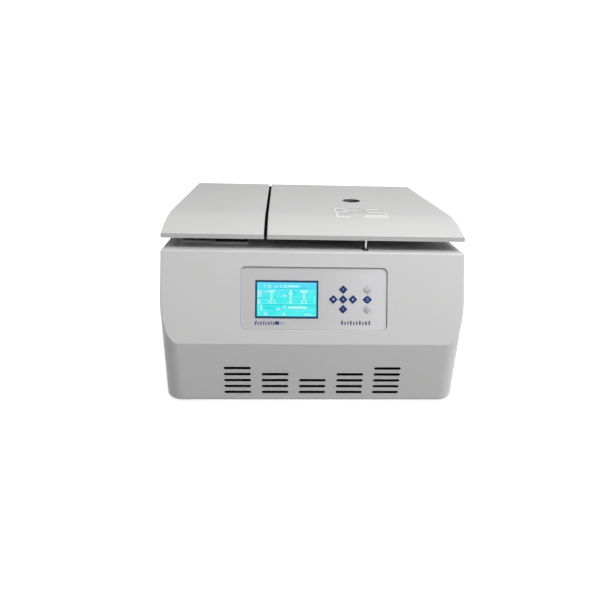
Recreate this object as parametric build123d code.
from build123d import *
import os
from math import atan2, cos, sin, sqrt

# Benchtop refrigerated laboratory centrifuge, in millimetres. +Z is up and -Y is the front.
# The origin is on the bench, at the centre of the footprint.
#
# Driving dimensions -----------------------------------------------------------------------
WIDTH = 580.0
DEPTH = 600.0
FRONT = -DEPTH / 2
REAR = DEPTH / 2
SIDE = WIDTH / 2
WALL = 3.0  # moulded casing
BASE_Z = 10.5  # underside of the casing, above the feet
CREASE_Z = 137.0  # where the sloping face meets the upright lower face
DECK_Z = 299.0  # flat top of the casing, under the lid
SLOPE_RUN = 67.5  # how far the sloping face leans back over its height
CORNER_R = 35.0  # upright front corners
SEAM_Y, SEAM_GAP = -180.0, 0.6  # joint between the front fascia and the main housing
SLOPE = atan2(SLOPE_RUN, DECK_Z - CREASE_Z)
EDGE_R, SKIRT_R = 3.0, 6.0  # easing of the face's rim and of the bottom edge
LIP = 15.0  # the casing turns in under the base tray by this much
TRAY_Z = BASE_Z + WALL
FLOOR_Z = TRAY_Z + 2.0  # the chassis pieces stand on this

LID_LOW = 319.5  # lower rim of the lid and of the fixed cover
LID_TOP = 350.0
LID_FRONT = -221.5
LID_REAR = 260.0
LID_BEND_Y = -110.0  # the flat top starts to curve down towards the front here
LID_BEND_R = 296.0
LID_BACK_Y = 237.0  # and towards the rear here
LID_BACK_R = 25.0
COVER_RIGHT = -96.5
LID_LEFT = -90.5
LID_EDGE_R, LID_CORNER_R = 2.2, 7.0

AXIS_X, AXIS_Y = 100.0, 14.0  # spindle
BOWL_R = 145.0
BOWL_FLOOR = 165.0
SHEET = 1.2  # stainless sheet of the bowl and the lid pan
PAN_R = 165.0
PAN_Z = 303.3
LINER_Z = 324.0
PORT_R = 15.5

HINGE_Y, HINGE_Z = 248.0, 311.0
HINGE_XS = (AXIS_X - 90, AXIS_X + 90)
HINGE_PIN_R = 4.0
ARM_WIDTH = 12.0
SPRING_ROOM = 14.0

PANEL_X, PANEL_L = 0.0, 86.5  # centre of the control panel, along X and up the slope
PANEL_W, PANEL_H, PANEL_R = 280.0, 120.0, 10.0
LCD_X, LCD_L = -52.0, 85.0
LCD_FRAME = (119.6, 72.2)
LCD_VIEW = (113.0, 64.5)
KEY_X, KEY_L, KEY_PITCH = 55.5, 86.0, 18.8
KEY_COLUMN_X = 102.0
KEY_HALF = 8.3  # half the diagonal of a key
KEY_WIDE, KEY_LOW = 8.9, 7.0  # half the width and height of the wide key, its points cut off
KEYS = {
    "key_up": (KEY_X, KEY_L + KEY_PITCH),
    "key_left": (KEY_X - KEY_PITCH, KEY_L),
    "key_enter": (KEY_X, KEY_L),
    "key_right": (KEY_X + KEY_PITCH, KEY_L),
    "key_down": (KEY_X, KEY_L - KEY_PITCH),
    "key_start": (KEY_COLUMN_X, KEY_L + KEY_PITCH),
    "key_lid": (KEY_COLUMN_X, KEY_L),
    "key_stop": (KEY_COLUMN_X, KEY_L - KEY_PITCH),
}

VENT_PITCH_X, VENT_PITCH_Z = 73.0, 13.5
VENT_LENGTH, VENT_HEIGHT = 51.0, 4.2
VENT_LOW_Z = 31.0
VENT_ROWS = (5, 4, 3, 4, 5)

LATCH_Y = -204.0
PAWL_X, PAWL_Z = 110.0, 255.0
PAWL_REACH = 20.0  # pivot to plunger pin
ROD_REACH = 22.0  # pivot to release rod pin
PIN_R = 2.0

FOOT_XY = [(x, y) for x in (-235, 235) for y in (-245, 240)]
PANEL_Y = 286.0  # outer face of the rear panel
FAN_X, FAN_Z = -185.0, 125.0
COMP_X, COMP_Y = -190.0, -30.0
ENTRY_X, ENTRY_Z = 200.0, 70.0
SPOUT_X, SPOUT_Z = 40.0, 42.0

face_plane = Plane(
    origin=(0, FRONT, CREASE_Z), x_dir=(1, 0, 0), z_dir=(0, -cos(SLOPE), sin(SLOPE))
)


# Helpers ----------------------------------------------------------------------------------
def block(x, y, z):
    """Box between two values on each axis."""
    size = [b - a for a, b in (x, y, z)]
    mid = [(a + b) / 2 for a, b in (x, y, z)]
    return Pos(*mid) * Box(*size)


def rod(axis, at, span, radius):
    """Round bar along an axis. at holds its other two coordinates, in X, Y, Z order."""
    bar = Cylinder(radius, span[1] - span[0])
    mid = (span[0] + span[1]) / 2
    if axis == "X":
        return Pos(mid, at[0], at[1]) * Rot(0, 90, 0) * bar
    if axis == "Y":
        return Pos(at[0], mid, at[1]) * Rot(90, 0, 0) * bar
    return Pos(at[0], at[1], mid) * bar


def ring(axis, at, span, outer, inner):
    margin = 1.0
    hole = rod(axis, at, (span[0] - margin, span[1] + margin), inner)
    return rod(axis, at, span, outer) - hole


def turned(points, at=(0, 0)):
    """Solid of revolution about an upright axis, from (radius, z) points."""
    outline = Polyline(*[(r, 0, z) for r, z in points], close=True)
    return Pos(at[0], at[1], 0) * revolve(make_face(outline), Axis.Z)


def cut_yz(points, x):
    """Plate between two values of X, from (y, z) points."""
    outline = Polyline(*[(x[0], py, pz) for py, pz in points], close=True)
    return extrude(make_face(outline), amount=x[1] - x[0], dir=(1, 0, 0))


def cut_xz(points, y):
    outline = Polyline(*[(px, y[0], pz) for px, pz in points], close=True)
    return extrude(make_face(outline), amount=y[1] - y[0], dir=(0, 1, 0))


def on_face(sketch, x, along, low, high):
    """Extrudes a sketch on the sloping face. Depths are measured outwards from its surface."""
    return face_plane * Pos(x, along, low) * extrude(sketch, amount=high - low)


def diamond(half):
    return Rot(0, 0, 45) * Rectangle(half * sqrt(2), half * sqrt(2))


def key_outline(name, margin=0.0):
    if name == "key_lid":
        return diamond(KEY_WIDE + margin) & Rectangle(4 * KEY_WIDE, 2 * (KEY_LOW + margin))
    return diamond(KEY_HALF + margin)


def group(shapes):
    """Several separate solids as one node."""
    return Compound(children=[solid for shape in shapes for solid in shape.solids()])


def pipe(points, radius, bends):
    """Round bar along straight runs joined by arcs."""
    path = FilletPolyline(*points, radius=bends)
    start = Plane(origin=path @ 0, z_dir=path % 0)
    return sweep(start * Circle(radius), path=path)


def save(name, shape):
    export_step(shape, f"parts/{name}.step")


# Casing -----------------------------------------------------------------------------------
def body_form(inset, low=None):
    """The casing's outer form, shrunk by inset: a box with round front corners and a sloping face."""
    low = BASE_Z + inset if low is None else low
    front = FRONT + inset
    side = SIDE - inset
    outline = Pos(0, (front + REAR) / 2) * Rectangle(2 * side, REAR - front)
    outline = fillet(outline.vertices().group_by(Axis.Y)[0], CORNER_R - inset)
    form = Pos(0, 0, low) * extrude(outline, amount=DECK_Z - inset - low)
    down, up, out = 150.0, 320.0, 200.0
    y0 = FRONT + inset * cos(SLOPE)
    z0 = CREASE_Z - inset * sin(SLOPE)
    low = (y0 - down * sin(SLOPE), z0 - down * cos(SLOPE))
    high = (y0 + up * sin(SLOPE), z0 + up * cos(SLOPE))
    step = (-out * cos(SLOPE), out * sin(SLOPE))
    wedge = [low, high, (high[0] + step[0], high[1] + step[1]), (low[0] + step[0], low[1] + step[1])]
    return form - cut_yz(wedge, (-SIDE - 50, SIDE + 50))


def rounded_form():
    """The outer form with its visible edges eased."""
    form = body_form(0)
    eps = 0.5
    face = [f for f in form.faces() if abs(f.normal_at(f.center()).Y + cos(SLOPE)) < 1e-3 and f.area > 5e4]
    rim = [e for e in face[0].edges() if e.center().Z < DECK_Z - eps]
    top = [e for e in form.edges() if abs(e.center().Z - DECK_Z) < eps and e.center().Y < REAR - eps]
    form = fillet(rim + top, EDGE_R)
    skirt = [e for e in form.edges() if abs(e.center().Z - BASE_Z) < eps and e.center().Y < REAR - eps]
    return fillet(skirt, SKIRT_R)


def slot_cut(x, z, length, height, y):
    """A round-ended slot along X, cut through between two values of Y."""
    slot = Plane.XZ * SlotOverall(length, height)
    return Pos(x, y[1], z) * extrude(slot, amount=y[1] - y[0])


def side_slot(x, y, z, length, height):
    """A round-ended upright slot through a side wall."""
    slot = Plane.YZ * Rot(0, 0, 90) * SlotOverall(length, height)
    return Pos(x - 2 * WALL, y, z) * extrude(slot, amount=4 * WALL)


def casing():
    """The front fascia and the main housing, from one form."""
    outer = rounded_form()
    shell = outer - body_form(WALL) - body_form(LIP, low=0)
    big = 2 * WIDTH
    before = block((-big, big), (-big, SEAM_Y), (-10, 400))
    after = block((-big, big), (SEAM_Y + SEAM_GAP, big), (-10, 400))
    return shell & before, shell & after


def fascia(shell):
    opening = RectangleRounded(PANEL_W, PANEL_H, PANEL_R)
    shell -= on_face(opening, PANEL_X, PANEL_L, -4 * WALL, 2 * WALL)
    for column, rows in enumerate(VENT_ROWS):
        x = (column - 2) * VENT_PITCH_X
        for row in range(rows):
            z = VENT_LOW_Z + row * VENT_PITCH_Z
            shell -= slot_cut(x, z, VENT_LENGTH, VENT_HEIGHT, (FRONT - WALL, FRONT + 2 * WALL))
    slots = [e for e in shell.edges() if abs(e.center().Y - FRONT) < 0.01 and e.length < VENT_LENGTH]
    face_rim = [e for e in shell.edges() if abs(face_plane.to_local_coords(e.center()).Z) < 0.01]
    opening_rim = [e for e in face_rim if abs(e.center().X) < PANEL_W / 2 + 1 and e.length < PANEL_W]
    shell = fillet(slots + opening_rim, 0.6)
    shell -= block((AXIS_X - 5.5, AXIS_X + 5.5), (LATCH_Y - 16, LATCH_Y + 13), (290, 305))
    # A tongue behind the seam locates the main housing.
    root, gap, depth = 2.0, 0.2, 2.2
    inner = body_form(WALL + depth)
    low = TRAY_Z + 20
    held = (body_form(WALL - 0.5) - inner) & block((-SIDE, SIDE), (SEAM_Y - 10, SEAM_Y - root), (low, 300))
    tip = (body_form(WALL + gap) - inner) & block((-SIDE, SIDE), (SEAM_Y - 10, SEAM_Y + 12), (low, 300))
    return shell + held + tip


def housing(shell):
    shell -= rod("Z", (AXIS_X, AXIS_Y), (DECK_Z - 10, DECK_Z + 10), BOWL_R + 5)
    # Return flange that the rear panel is screwed to.
    span = (PANEL_Y - 5, PANEL_Y - 2)
    frame = (body_form(WALL - 0.5) - body_form(WALL + 14)) & block((-SIDE, SIDE), span, (TRAY_Z + 20, 300))
    shell += frame
    for x, z in rear_screws():
        shell -= rod("Y", (x, z), (PANEL_Y - 8, PANEL_Y), 2.2)
    for column in range(12):
        shell -= side_slot(-SIDE, 60 + 14 * column, 110, 90, 4.6)
        shell -= side_slot(SIDE, 60 + 14 * column, 75, 60, 4.6)
    return shell


def rear_screws():
    """Places of the rear panel's screws, as (x, z)."""
    upright = [(x, z) for x in (-279, 279) for z in (60, 160, 250)]
    return upright + [(x, DECK_Z - 11) for x in (-180, -60, 60, 180)]


def rear_panel():
    panel = block((-286.6, 286.6), (PANEL_Y - 2, PANEL_Y), (TRAY_Z + 0.2, DECK_Z - WALL - 0.2))
    for row in range(11):
        z = FAN_Z - 75 + 15 * row
        half = sqrt(86.0**2 - (z - FAN_Z) ** 2)
        panel -= slot_cut(FAN_X, z, 2 * half, 7, (PANEL_Y - 6, PANEL_Y + 4))
    for row in range(5):
        panel -= slot_cut(AXIS_X - 25, 110 + 15 * row, 110, 5, (PANEL_Y - 6, PANEL_Y + 4))
    for x, z in rear_screws():
        panel -= rod("Y", (x, z), (PANEL_Y - 8, PANEL_Y + 4), 2.2)
    panel -= block((ENTRY_X - 25, ENTRY_X + 25), (PANEL_Y - 6, PANEL_Y + 4), (ENTRY_Z - 29, ENTRY_Z + 29))
    return panel - rod("Y", (SPOUT_X, SPOUT_Z), (PANEL_Y - 6, PANEL_Y + 4), 7)


def base_tray():
    inset, back, top = WALL + 0.4, PANEL_Y - 2.2, TRAY_Z + 9
    span = (-WIDTH, WIDTH)
    tray = body_form(inset, TRAY_Z) & block(span, (-DEPTH, back), (0, top))
    tray -= body_form(inset + 2, FLOOR_Z) & block(span, (-DEPTH, back - 2), (0, top + 1))
    for x, y in FOOT_XY:
        tray -= rod("Z", (x, y), (0, 30), 3.3)
    tray -= rod("Z", (PAWL_X + ROD_REACH, LATCH_Y - 2.2), (0, 30), 9)
    for column in range(9):
        for x in (-190, 100):
            tray -= block((x - 45, x + 45), (130 + 12 * column, 135 + 12 * column), (0, 20))
    return tray


def feet():
    outline = [(3.3, TRAY_Z), (20, TRAY_Z), (20, 11), (17, 0), (8, 0), (8, 7), (3.3, 7)]
    return group([turned(outline, at) for at in FOOT_XY])


def foot_screws():
    pieces = []
    for x, y in FOOT_XY:
        screw = rod("Z", (x, y), (3, 7), 5.5) + rod("Z", (x, y), (7, FLOOR_Z + 7), 3.0)
        hexagon = Pos(x, y, FLOOR_Z) * extrude(RegularPolygon(5.8, 6), amount=5)
        pieces += [screw, hexagon - rod("Z", (x, y), (0, 30), 3.06)]
    return group(pieces)


def rear_panel_screws():
    pieces = []
    for x, z in rear_screws():
        head = rod("Y", (x, z), (PANEL_Y, PANEL_Y + 2.4), 4.2)
        cross = block((x - 2.4, x + 2.4), (PANEL_Y + 1.2, PANEL_Y + 3), (z - 0.4, z + 0.4))
        cross += block((x - 0.4, x + 0.4), (PANEL_Y + 1.2, PANEL_Y + 3), (z - 2.4, z + 2.4))
        pieces.append(head + rod("Y", (x, z), (PANEL_Y - 9, PANEL_Y), 2.0) - cross)
    return group(pieces)


def divider():
    """Bulkhead between the spindle's compartment and the refrigeration compartment."""
    wall = block((-86, -84.4), (-172, 278), (FLOOR_Z, 280))
    wall -= block((-90, -80), (60, 130), (60, 150))
    return wall - block((-90, -80), (-150, -110), (30, 70))


# Control panel ----------------------------------------------------------------------------
# Depths on the sloping face: 0 is its surface, and the panel lies behind the wall.
PANEL_FACE = -WALL
PANEL_BACK = PANEL_FACE - 2.0
KEY_PROUD = 0.8
KEY_TRAVEL = 0.65
KEY_STEM = -7.0
SWITCH_TOP = KEY_STEM - KEY_TRAVEL - 0.05
BOARD_FACE = -12.0


def control_panel():
    panel = on_face(RectangleRounded(PANEL_W + 20, PANEL_H + 20, PANEL_R), PANEL_X, PANEL_L, PANEL_BACK, PANEL_FACE)
    window = RectangleRounded(LCD_FRAME[0] + 0.4, LCD_FRAME[1] + 0.4, 0.3)
    panel -= on_face(window, LCD_X, LCD_L, PANEL_BACK - 1, PANEL_FACE + 1)
    for name, (x, along) in KEYS.items():
        panel -= on_face(key_outline(name, 0.35), x, along, PANEL_BACK - 1, PANEL_FACE + 1)
    return panel


def lcd_module():
    """Display board with its metal frame, which shows as the dark border."""
    frame = on_face(Rectangle(*LCD_FRAME), LCD_X, LCD_L, -9, PANEL_FACE + 0.4)
    frame -= on_face(Rectangle(*LCD_VIEW), LCD_X, LCD_L, -5, 0)
    board = on_face(Rectangle(144, 100), LCD_X, LCD_L, -11, -9)
    back = on_face(Rectangle(122, 76), LCD_X, LCD_L, -17, -11)
    return frame + board + back


def lcd_glass():
    return on_face(Rectangle(LCD_VIEW[0] - 0.2, LCD_VIEW[1] - 0.2), LCD_X, LCD_L, -4.6, -3.2)


def key(name):
    x, along = KEYS[name]
    cap = on_face(key_outline(name), x, along, PANEL_BACK - 0.1, PANEL_FACE + KEY_PROUD)
    rim = on_face(key_outline(name, 0.9), x, along, PANEL_BACK - 1.2, PANEL_BACK - 0.1)
    return cap + rim + on_face(Circle(2), x, along, KEY_STEM, PANEL_BACK - 1.1)


def keypad_board():
    """Key board and its eight push switches."""
    board = on_face(Rectangle(92, 82), (KEY_X + KEY_COLUMN_X) / 2, KEY_L, BOARD_FACE - 1.6, BOARD_FACE)
    switches = []
    for x, along in KEYS.values():
        body = on_face(Rectangle(6, 6), x, along, BOARD_FACE, SWITCH_TOP - 0.8)
        switches.append(body + on_face(Circle(1.7), x, along, BOARD_FACE, SWITCH_TOP))
    return group([board, *switches])


# Lid and fixed cover ----------------------------------------------------------------------
def lid_form(inset, x, low=LID_LOW):
    """Flat-topped form that curves down to a thin front lip, shrunk by inset on every side but the bottom."""
    front, rear = LID_FRONT + inset, LID_REAR - inset
    top = LID_TOP - inset
    bend, back = LID_BEND_R - inset, LID_BACK_R - inset
    front_z = LID_TOP - LID_BEND_R + sqrt(bend**2 - (front - LID_BEND_Y) ** 2)
    rear_z = LID_TOP - LID_BACK_R + sqrt(back**2 - (rear - LID_BACK_Y) ** 2)
    x0, x1 = x[0] + inset, x[1] - inset

    def at(y, z):
        return (x0, y, z)

    mid_y = (front + LID_BEND_Y) / 2
    mid_z = LID_TOP - LID_BEND_R + sqrt(bend**2 - (mid_y - LID_BEND_Y) ** 2)
    tail_y = (rear + LID_BACK_Y) / 2
    tail_z = LID_TOP - LID_BACK_R + sqrt(back**2 - (tail_y - LID_BACK_Y) ** 2)
    outline = [
        Line(at(rear, low), at(front, low)),
        Line(at(front, low), at(front, front_z)),
        ThreePointArc(at(front, front_z), at(mid_y, mid_z), at(LID_BEND_Y, top)),
        Line(at(LID_BEND_Y, top), at(LID_BACK_Y, top)),
        ThreePointArc(at(LID_BACK_Y, top), at(tail_y, tail_z), at(rear, rear_z)),
        Line(at(rear, rear_z), at(rear, low)),
    ]
    return extrude(make_face(outline), amount=x1 - x0, dir=(1, 0, 0))


def lid_like_shell(x):
    """Shell shared by the lid and the fixed cover, its outer edges eased."""
    form = lid_form(0, x)
    corners = [e for e in form.edges() if e.center().Y > LID_REAR - 1 and e.bounding_box().size.X < 1]
    form = fillet(corners, LID_CORNER_R)
    ends = (x[0], x[1])
    edges = [e for e in form.edges() if e.center().Z > LID_LOW + 1 and min(abs(e.center().X - v) for v in ends) < 0.1]
    form = fillet([e for e in edges if e.bounding_box().size.Y > 1], LID_EDGE_R)
    return form - lid_form(WALL, x, low=LID_LOW - 5)


LID_X = (LID_LEFT, SIDE)
COVER_X = (-SIDE, COVER_RIGHT)


def within_lid(shape):
    """Trims a piece so that its top meets the lid's underside."""
    return shape & lid_form(WALL, LID_X, low=200)


def lid_pan():
    """The lid's inner moulding: a liner across the lid, and a round pan that closes the chamber."""
    at = (AXIS_X, AXIS_Y)
    liner_z = (LINER_Z, LINER_Z + 1.5)
    wall = ring("Z", at, (PAN_Z, liner_z[1]), PAN_R, PAN_R - SHEET)
    floor = ring("Z", at, (PAN_Z, PAN_Z + SHEET), PAN_R, PORT_R + 2.5)
    liner = lid_form(WALL + 0.2, LID_X, LINER_Z) & block(LID_X, (LID_FRONT, LID_REAR), liner_z)
    liner -= rod("Z", at, (PAN_Z, LID_TOP), PAN_R - SHEET)
    liner -= block((AXIS_X - 16.5, AXIS_X + 16.5), (-LID_REAR, LATCH_Y + 15), liner_z)
    for x in HINGE_XS:
        liner -= block((x - 15, x + 15), (HINGE_Y - 62, LID_REAR), liner_z)
    return wall + floor + liner


def lid_foam():
    at = (AXIS_X, AXIS_Y)
    foam = ring("Z", at, (PAN_Z + SHEET, LID_TOP), PAN_R - SHEET - 0.2, PORT_R + 3)
    return within_lid(foam - rod("Z", at, (346, LID_TOP), PORT_R + 6))


def port_bezel():
    r = PORT_R
    outline = [
        (r, PAN_Z + 0.1), (r + 2.3, PAN_Z + 0.1), (r + 2.3, 346.9), (r + 5.5, 346.9), (r + 5.5, LID_TOP),
        (r + 7.5, LID_TOP), (r + 7.5, LID_TOP + 0.4), (r + 6.9, LID_TOP + 0.8), (r + 5, LID_TOP + 0.8), (r, 346.2),
    ]
    return turned(outline, (AXIS_X, AXIS_Y))


def lid_label():
    form = lid_form(-0.25, (LID_LEFT - 5, SIDE + 5)) - lid_form(0, (LID_LEFT - 10, SIDE + 10))
    return form & block((47, 157), (-151, -67), (328, 360))


def striker():
    """Flat tongue under the lid's front, with a window for the pawl."""
    tongue = block((AXIS_X - 1.5, AXIS_X + 1.5), (LATCH_Y - 10, LATCH_Y + 10), (270, 345))
    foot = block((AXIS_X - 16, AXIS_X + 16), (LATCH_Y - 12, LATCH_Y + 14), (LINER_Z, 345))
    foot -= lid_form(2 * WALL, LID_X, low=200)
    piece = within_lid(tongue + foot)
    return piece - block((AXIS_X - 5, AXIS_X + 5), (LATCH_Y - 5, LATCH_Y + 5), (274, 289))


def hinge_arms():
    arms = []
    for x in HINGE_XS:
        span = (x - ARM_WIDTH / 2, x + ARM_WIDTH / 2)
        at = (HINGE_Y, HINGE_Z)
        arm = rod("X", at, span, 8) + block(span, (HINGE_Y - 8, HINGE_Y + 7.5), (HINGE_Z, 350))
        arm += block((span[0] - 8, span[1] + 8), (HINGE_Y - 60, HINGE_Y), (341, 350))
        arm = within_lid(arm)
        arms.append(arm - rod("X", at, (span[0] - 1, span[1] + 1), HINGE_PIN_R + 0.06))
    return group(arms)


def ear_spans(x):
    """X spans of a hinge bracket's two ears; the spring sits between the arm and the right-hand one."""
    left = x - ARM_WIDTH / 2 - 0.5
    right = x + ARM_WIDTH / 2 + SPRING_ROOM
    return (left - 4, left), (right, right + 4)


def hinge_brackets():
    """Two deck brackets and their pins."""
    pieces = []
    for x in HINGE_XS:
        first, last = ear_spans(x)
        bracket = block((first[0], last[1]), (HINGE_Y - 18, HINGE_Y + 16), (DECK_Z, DECK_Z + 2.5))
        for ear in (first, last):
            bracket += rod("X", (HINGE_Y, HINGE_Z), ear, 8)
            bracket += block(ear, (HINGE_Y - 8, HINGE_Y + 8), (DECK_Z, HINGE_Z))
            bracket -= rod("X", (HINGE_Y, HINGE_Z), (ear[0] - 0.1, ear[1] + 0.1), HINGE_PIN_R)
        pin = rod("X", (HINGE_Y, HINGE_Z), (first[0] - 1, last[1] + 1), HINGE_PIN_R)
        pieces += [bracket, pin]
    return group(pieces)


def lid_spring(x):
    """Torsion spring on the hinge pin."""
    start = x + ARM_WIDTH / 2 + 1.6
    turns, pitch = 4, 2.7
    helix = Helix(pitch, turns * pitch, 6.3, center=(start, HINGE_Y, HINGE_Z), direction=(1, 0, 0))
    section = Plane(origin=helix @ 0, z_dir=helix % 0) * Circle(1.0)
    return sweep(section, path=helix, is_frenet=True)


def cover_riser():
    """Frame that carries the fixed cover above the deck."""
    x, y = (-252, -141), (-164, 230)
    frame = block(x, y, (DECK_Z, LID_TOP)) - block((x[0] + 2, x[1] - 2), (y[0] + 2, y[1] - 2), (0, 400))
    flange = block((x[0] - 9, x[1] + 9), (y[0] - 9, y[1] + 9), (DECK_Z, DECK_Z + 1.5))
    flange -= block((x[0] + 1, x[1] - 1), (y[0] + 1, y[1] - 1), (0, 400))
    return (frame + flange) & lid_form(WALL, COVER_X, low=200)


# Lid lock ---------------------------------------------------------------------------------
ARM_Y = (LATCH_Y + 1, LATCH_Y + 4.5)  # the pawl's two thin arms
LINK_Y = (LATCH_Y - 4, LATCH_Y - 0.5)  # the plunger's and the rod's end plates
LOCK_PLATE_Y = -190.0


def lock_frame():
    """Plate that hangs the lock under the deck, and the pawl's pivot pin."""
    plate = block((60, 150), (LOCK_PLATE_Y, LOCK_PLATE_Y + 3), (222, 293.6))
    plate += block((112, 150), (-222, LOCK_PLATE_Y - 1), (293, DECK_Z - WALL))
    plate += block((112, 150), (LOCK_PLATE_Y - 1, LOCK_PLATE_Y + 3), (290, 293.6))
    plate -= block((88, 111.9), (-230, LOCK_PLATE_Y + 4), (291, 300))
    plate -= rod("Y", (PAWL_X, PAWL_Z), (LOCK_PLATE_Y - 1, LOCK_PLATE_Y + 4), 3)
    pin = rod("Y", (PAWL_X, PAWL_Z), (-211, LOCK_PLATE_Y + 3), 3)
    pin += rod("Y", (PAWL_X, PAWL_Z), (-213.5, -211), 5)
    return group([plate, pin])


def lock_pawl():
    hub = rod("Y", (PAWL_X, PAWL_Z), (-210.8, LOCK_PLATE_Y - 0.3), 7)
    nose = [(105, 258), (115, 258), (114, 284), (112, 287), (104.5, 286.5), (104.5, 279.5), (109, 277)]
    pawl = hub + cut_xz(nose, (LATCH_Y - 4.5, LATCH_Y + 4.5))
    pawl += block((PAWL_X - 3.5, PAWL_X + 3.5), ARM_Y, (PAWL_Z - PAWL_REACH - 4, PAWL_Z))
    pawl += block((PAWL_X, PAWL_X + ROD_REACH + 4), ARM_Y, (PAWL_Z - 4, PAWL_Z + 4))
    pins = (LINK_Y[0] - 1, ARM_Y[0] + 0.5)
    pawl += rod("Y", (PAWL_X, PAWL_Z - PAWL_REACH), pins, PIN_R)
    pawl += rod("Y", (PAWL_X + ROD_REACH, PAWL_Z), pins, PIN_R)
    return pawl - rod("Y", (PAWL_X, PAWL_Z), (-212, LOCK_PLATE_Y), 3.06)


def lock_solenoid():
    z = PAWL_Z - PAWL_REACH
    case = block((42, 86), (LATCH_Y - 12, LOCK_PLATE_Y), (z - 12, z + 12))
    return case - rod("X", (LATCH_Y - 1, z), (50, 90), 4.3)


def lock_plunger():
    z = PAWL_Z - PAWL_REACH
    plunger = rod("X", (LATCH_Y - 1, z), (56, 98), 4)
    plunger += block((96, 116), LINK_Y, (z - 6, z + 6))
    gap = PIN_R + 0.4
    return plunger - block((PAWL_X - gap, PAWL_X + gap), (LATCH_Y - 9, LATCH_Y + 9), (z - 3.5, z + 3.5))


def release_rod():
    """Emergency release: pulled down from under the base, it frees the pawl."""
    x, y = PAWL_X + ROD_REACH, LATCH_Y - 2.2
    eye = block((x - 6, x + 6), LINK_Y, (PAWL_Z - 7, PAWL_Z + 7))
    gap = PIN_R + 0.3
    eye -= block((x - 3.6, x + 2.6), (LATCH_Y - 9, LATCH_Y + 9), (PAWL_Z - gap, PAWL_Z + gap))
    knob = turned([(0, 2.5), (5.5, 2.5), (7, 4), (7, 9), (5, 12), (0, 12)], (x, y))
    return eye + rod("Z", (x, y), (11, PAWL_Z - 6), 1.7) + knob


# Chamber ----------------------------------------------------------------------------------
def chamber_bowl():
    """Stainless bowl hung from the deck, with a raised neck round the spindle."""
    at = (AXIS_X, AXIS_Y)
    knee = 20.0
    outer = rod("Z", at, (BOWL_FLOOR - SHEET, DECK_Z + SHEET), BOWL_R + SHEET)
    outer = fillet(outer.edges().group_by(Axis.Z)[0], knee)
    inner = rod("Z", at, (BOWL_FLOOR, DECK_Z + 5), BOWL_R)
    inner = fillet(inner.edges().group_by(Axis.Z)[0], knee - SHEET)
    bowl = outer - inner + ring("Z", at, (DECK_Z, DECK_Z + SHEET), BOWL_R + 17, BOWL_R)
    neck = [(40, BOWL_FLOOR), (26, 178), (22, 178), (22, 176.5), (25, 176.5), (38, BOWL_FLOOR - SHEET)]
    bowl -= rod("Z", at, (BOWL_FLOOR - 5, BOWL_FLOOR + 3), 38.5)
    return bowl + turned(neck + [(40, BOWL_FLOOR - SHEET)], at)


def chamber_gasket():
    gasket = ring("Z", (AXIS_X, AXIS_Y), (DECK_Z + SHEET, PAN_Z - 0.3), BOWL_R + 13, BOWL_R + 3)
    return fillet(gasket.edges().group_by(Axis.Z)[-1], 1.0)


def bowl_foam():
    at = (AXIS_X, AXIS_Y)
    foam = ring("Z", at, (144, DECK_Z - WALL), 171, 155.5)
    return foam + ring("Z", at, (144, BOWL_FLOOR - SHEET), 160, 64)


def evaporator_coil():
    low, turns, pitch = 188.0, 6, 17.0
    helix = Helix(pitch, turns * pitch, 150.6, center=(AXIS_X, AXIS_Y, low), direction=(0, 0, 1))
    section = Plane(origin=helix @ 0, z_dir=helix % 0) * Circle(3.8)
    return sweep(section, path=helix, is_frenet=True)


def armour_ring():
    """Steel barrier round the chamber; it also carries the deck."""
    at = (AXIS_X, AXIS_Y)
    guard = ring("Z", at, (FLOOR_Z, DECK_Z - WALL), 178, 172)
    for turn in range(4):
        window = block((150, 190), (-35, 35), (40, 110))
        guard -= Pos(*at, 0) * Rot(0, 0, 45 + 90 * turn) * window
    return guard


# Drive ------------------------------------------------------------------------------------
MOUNT_Z = 38.0
DAMPER_XY = [(AXIS_X + 68 * sx, AXIS_Y + 68 * sy) for sx in (-1, 1) for sy in (-1, 1)]
COMP_MOUNT_XY = [(COMP_X + 62 * sx, COMP_Y + 62 * sy) for sx in (-1, 1) for sy in (-1, 1)]
COMP_BASE_Z = 27.0
SHAFT_R = 8.0


def vibration_mounts():
    """Rubber mounts under the motor and under the compressor."""
    low = FLOOR_Z
    waist = [(0, low), (14, low), (14, 24), (11, 27), (11, 31), (14, 34), (14, MOUNT_Z), (0, MOUNT_Z)]
    grommet = [(0, low), (11, low), (11, 22), (9, 24), (11, 26), (11, COMP_BASE_Z), (0, COMP_BASE_Z)]
    pieces = [turned(waist, at) for at in DAMPER_XY]
    return group(pieces + [turned(grommet, at) for at in COMP_MOUNT_XY])


def motor_mount():
    at = (AXIS_X, AXIS_Y)
    plate = Pos(*at, MOUNT_Z) * extrude(RectangleRounded(176, 176, 30), amount=6)
    return plate - rod("Z", at, (0, 60), 30)


def motor_housing():
    at = (AXIS_X, AXIS_Y)
    case = turned([(0, 44), (62, 44), (62, 126), (54, 134), (26, 138), (22, 152), (0, 152)], at)
    case -= turned([(0, 60), (22, 60), (22, 52), (57, 52), (57, 122), (48, 128), (0, 128)], at)
    for span, r in (((140, 160), 17), ((40, 56), 17), ((30, 160), 12)):
        case -= rod("Z", at, span, r)
    for fin in range(16):
        groove = block((59.5, 66), (-2.5, 2.5), (56, 118))
        case -= Pos(*at, 0) * Rot(0, 0, 22.5 * fin) * groove
    return case


def motor_stator():
    at = (AXIS_X, AXIS_Y)
    core = ring("Z", at, (66, 112), 57, 38.5)
    return group([core, ring("Z", at, (112, 119), 55, 42), ring("Z", at, (59, 66), 55, 42)])


def motor_bearings():
    at = (AXIS_X, AXIS_Y)
    return group([ring("Z", at, span, 17, SHAFT_R + 0.06) for span in ((140, 150), (46, 56))])


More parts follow.
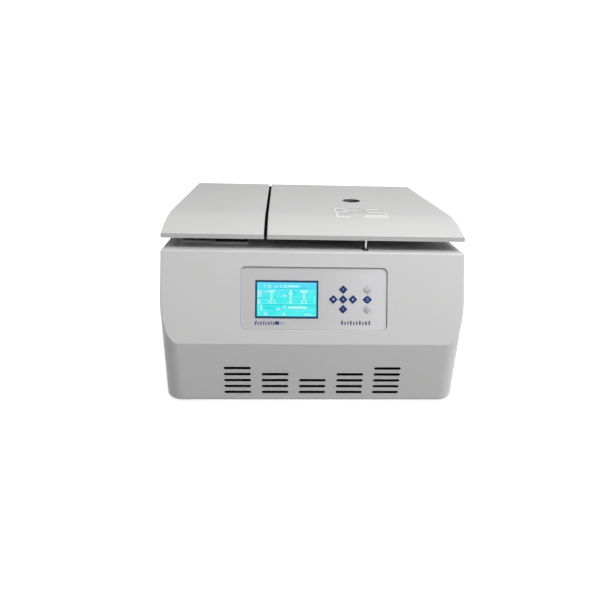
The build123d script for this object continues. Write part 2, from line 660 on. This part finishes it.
def drive_shaft():
    """Spindle with the motor's rotor core and its speed disc."""
    shaft = [
        (0, 30), (5, 30), (5, 32), (24, 32), (24, 33.5), (5, 33.5), (5, 40), (SHAFT_R, 40), (SHAFT_R, 64),
        (37.5, 64), (37.5, 114), (SHAFT_R, 114), (SHAFT_R, 182), (12, 184), (12, 188), (9, 206), (6, 206),
        (6, 280), (0, 280),
    ]
    return turned(shaft, (AXIS_X, AXIS_Y))


def rotor_body():
    """Fixed-angle rotor, wider at its foot because the tubes lean outwards."""
    at = (AXIS_X, AXIS_Y)
    outline = [
        (12, 188), (40, 188), (104, 194), (112, 202), (112, 222), (96, 258), (90, 258), (88, 254), (60, 248),
        (20, 248), (20, 257), (6.1, 257), (6.1, 206), (9, 206),
    ]
    body = turned(outline, at)
    tilt, mouth_r, count = 30.0, 56.0, 12
    for turn in range(count):
        socket = Cylinder(8.4, 60, align=(Align.CENTER, Align.CENTER, Align.MAX))
        socket = fillet(socket.edges().group_by(Axis.Z)[0], 6)
        lean = Pos(mouth_r, 0, 255) * Rot(0, -tilt, 0) * socket
        body -= Pos(*at, 0) * Rot(0, 0, 360 / count * turn) * lean
    return body


def rotor_lid():
    outline = [
        (6.2, 257.1), (20, 257.1), (24, 260.5), (86, 258.1), (91, 258.1), (91, 260), (84, 263), (30, 266),
        (22, 269), (6.2, 269),
    ]
    return turned(outline, (AXIS_X, AXIS_Y))


def rotor_knob():
    at = (AXIS_X, AXIS_Y)
    outline = [(6.06, 269.3), (15, 269.3), (20, 273), (20, 286), (16, 290.5), (0, 290.5), (0, 281), (6.06, 281)]
    knob = turned(outline, at)
    for notch in range(12):
        flute = rod("Z", (21.5, 0), (268, 292), 3)
        knob -= Pos(*at, 0) * Rot(0, 0, 30 * notch) * flute
    return knob


# Refrigeration ----------------------------------------------------------------------------
COND_Y = (170.0, 212.0)
TUBE_R = 4.5


def compressor():
    """Hermetic compressor: a thick steel shell on a base plate, hollow inside."""
    at = (COMP_X, COMP_Y)
    shell = [(0, 30), (66, 30), (72, 42), (72, 160), (62, 182), (30, 192), (0, 193)]
    core = [(0, 40), (60, 40), (64, 48), (64, 156), (56, 174), (28, 183), (0, 184)]
    can = turned(shell, at) - turned(core, at)
    plate = Pos(*at, COMP_BASE_Z) * extrude(RectangleRounded(152, 152, 14), amount=3)
    terminal = block((COMP_X + 66, COMP_X + 82), (COMP_Y - 18, COMP_Y + 18), (90, 130))
    return can + plate + terminal - turned(core, at)


def condenser_rows():
    return [50 + 26 * row for row in range(7)]


def condenser_fins():
    fin = block((0, 0.8), COND_Y, (34, 222))
    for y in (COND_Y[0] + 10, COND_Y[1] - 10):
        for z in condenser_rows():
            fin -= rod("X", (y, z), (-1, 2), TUBE_R + 0.3)
    return group([Pos(-257.5 + 7 * n, 0, 0) * fin for n in range(21)])


def refrigerant_pipes():
    """Condenser tubes, filter drier and the lines between the compressor and the evaporator."""
    left, right = -268.0, -104.0
    pieces = []
    for y in (COND_Y[0] + 10, COND_Y[1] - 10):
        points = []
        for row, z in enumerate(condenser_rows()):
            ends = (left, right) if row % 2 == 0 else (right, left)
            points += [(ends[0], y, z), (ends[1], y, z)]
        points[0] = (left - 6, y, points[0][2])
        points[-1] = (right + 8, y, points[-1][2])
        pieces.append(pipe(points, TUBE_R, 12.9))
    discharge = [(COMP_X - 30, COMP_Y + 50, 186), (COMP_X - 30, COMP_Y + 50, 235), (-240, 100, 235), (-240, 150, 235)]
    pieces.append(pipe(discharge, 3.2, 14))
    suction = [(COMP_X + 25, COMP_Y + 30, 191.5), (COMP_X + 25, COMP_Y + 30, 240), (-104, COMP_Y + 30, 240)]
    pieces.append(pipe(suction, 4.0, 16))
    at = (-120, 110)
    drier = [(0, 60), (4, 60), (4, 66), (12, 72), (12, 140), (4, 146), (4, 152), (0, 152)]
    pieces.append(turned(drier, at))
    return group(pieces)


def fan_frame():
    """Fan shroud, its arms and the fan's motor."""
    at = (FAN_X, FAN_Z)
    plate = block((-279, -91), (226, 228), (26, 226)) - rod("Y", at, (220, 240), 88)
    frame = plate + ring("Y", at, (226, 258), 90.5, 88)
    for turn in range(4):
        arm = block((18, 89.5), (254, 257), (-3.5, 3.5))
        frame += Pos(FAN_X, 0, FAN_Z) * Rot(0, 45 + 90 * turn, 0) * arm
    frame += rod("Y", at, (252, 274), 24)
    return frame + rod("Y", at, (238, 253), 3.5)


def fan_blade():
    at = (FAN_X, FAN_Z)
    hub = rod("Y", at, (231, 250), 26) - rod("Y", at, (237, 260), 3.56)
    blades = 5
    for turn in range(blades):
        paddle = Pos(53, 240.5, 0) * Rot(34, 0, 0) * Box(62, 1.8, 30)
        hub += Pos(FAN_X, 0, FAN_Z) * Rot(0, 360 / blades * turn, 0) * paddle
    return hub


# Electronics and rear fittings ------------------------------------------------------------
ROCKER_Y, ROCKER_Z = PANEL_Y - 4.0, ENTRY_Z + 13.0
ROCKER_TILT = 10.0
ROCKER_PIN_R = 1.6


def drive_inverter():
    """Motor drive board with its heatsink, capacitors and standoffs."""
    low = FLOOR_Z + 9
    top = low + 2
    pieces = [block((-262, -112), (-262, -140), (low, top))]
    sink = block((-256, -190), (-256, -150), (top, top + 6))
    for fin in range(9):
        sink += block((-256 + 8 * fin, -254 + 8 * fin), (-256, -150), (top, top + 34))
    pieces.append(sink)
    for n in range(3):
        pieces.append(rod("Z", (-170 + 26 * n, -230), (top, top + 38), 11))
    pieces.append(block((-178, -130), (-205, -160), (top, top + 30)))
    for x in (-256, -118):
        for y in (-256, -146):
            pieces.append(rod("Z", (x, y), (FLOOR_Z, low), 3.5))
    return group(pieces)


def power_entry():
    """Mains inlet and switch housing in one module."""
    x, z = ENTRY_X, ENTRY_Z
    flange = Pos(x, PANEL_Y + 3.5, z) * (Plane.XZ * extrude(RectangleRounded(62, 70, 5), amount=3.5))
    module = flange + block((x - 24, x + 24), (PANEL_Y - 30, PANEL_Y + 1), (z - 28, z + 28))
    module -= block((x - 13, x + 13), (PANEL_Y - 16, PANEL_Y + 9), (z - 24, z - 5))
    for dx, dz in ((-7, -13), (7, -13), (0, -17.5)):
        module += block((x + dx - 1, x + dx + 1), (PANEL_Y - 18, PANEL_Y - 1), (z + dz - 2, z + dz + 2))
    module -= block((x - 12.2, x + 12.2), (PANEL_Y - 20, PANEL_Y + 9), (z - 0.2, z + 26.2))
    return module - rod("X", (ROCKER_Y, ROCKER_Z), (x - 15, x + 15), ROCKER_PIN_R + 0.06)


def power_rocker():
    """Switch rocker in its off position, tilted about its two pins."""
    profile = [(-6, -8), (-6, 8), (6, 11), (9.5, 10.6), (7, 0), (9.5, -10.6), (6, -11)]
    rocker = cut_yz(profile, (ENTRY_X - 11.8, ENTRY_X + 11.8))
    pins = rod("X", (0, 0), (ENTRY_X - 14.6, ENTRY_X + 14.6), ROCKER_PIN_R)
    return Pos(0, ROCKER_Y, ROCKER_Z) * Rot(-ROCKER_TILT, 0, 0) * (rocker + pins)


def drain_spout():
    at = (SPOUT_X, SPOUT_Z)
    spout = rod("Y", at, (PANEL_Y - 14, REAR - 0.5), 6) + rod("Y", at, (PANEL_Y, PANEL_Y + 2), 12)
    return spout - rod("Y", at, (PANEL_Y - 20, REAR + 5), 4)


# Export -----------------------------------------------------------------------------------
def main():
    os.makedirs("parts", exist_ok=True)
    front, rest = casing()
    save("front_fascia", fascia(front))
    save("main_housing", housing(rest))
    save("rear_panel", rear_panel())
    save("base_tray", base_tray())
    save("rubber_feet", feet())
    save("foot_screws", foot_screws())
    save("rear_panel_screws", rear_panel_screws())
    save("chassis_divider", divider())
    save("control_panel", control_panel())
    save("lcd_module", lcd_module())
    save("lcd_glass", lcd_glass())
    for name in KEYS:
        save(name, key(name))
    save("keypad_board", keypad_board())
    lid = lid_like_shell(LID_X)
    port = rod("Z", (AXIS_X, AXIS_Y), (300, 360), PORT_R + 5.7)
    save("lid_shell", lid - port)
    save("left_cover", lid_like_shell(COVER_X))
    save("lid_pan", lid_pan())
    save("lid_foam", lid_foam())
    save("port_bezel", port_bezel())
    save("port_glass", rod("Z", (AXIS_X, AXIS_Y), (328, 330), PORT_R - 0.1))
    save("lid_label", lid_label())
    save("lid_striker", striker())
    save("hinge_arms", hinge_arms())
    save("hinge_brackets", hinge_brackets())
    save("lid_springs", group([lid_spring(x) for x in HINGE_XS]))
    save("cover_riser", cover_riser())
    save("lock_frame", lock_frame())
    save("lock_pawl", lock_pawl())
    save("lock_solenoid", lock_solenoid())
    save("lock_plunger", lock_plunger())
    save("release_rod", release_rod())
    save("chamber_bowl", chamber_bowl())
    save("chamber_gasket", chamber_gasket())
    save("bowl_foam", bowl_foam())
    save("evaporator_coil", evaporator_coil())
    save("armour_ring", armour_ring())
    save("vibration_mounts", vibration_mounts())
    save("motor_mount", motor_mount())
    save("motor_housing", motor_housing())
    save("motor_stator", motor_stator())
    save("motor_bearings", motor_bearings())
    save("drive_shaft", drive_shaft())
    save("rotor_body", rotor_body())
    save("rotor_lid", rotor_lid())
    save("rotor_knob", rotor_knob())
    save("compressor", compressor())
    save("condenser_fins", condenser_fins())
    save("refrigerant_pipes", refrigerant_pipes())
    save("fan_frame", fan_frame())
    save("fan_blade", fan_blade())
    save("drive_inverter", drive_inverter())
    save("power_entry", power_entry())
    save("power_rocker", power_rocker())
    save("drain_spout", drain_spout())


main()
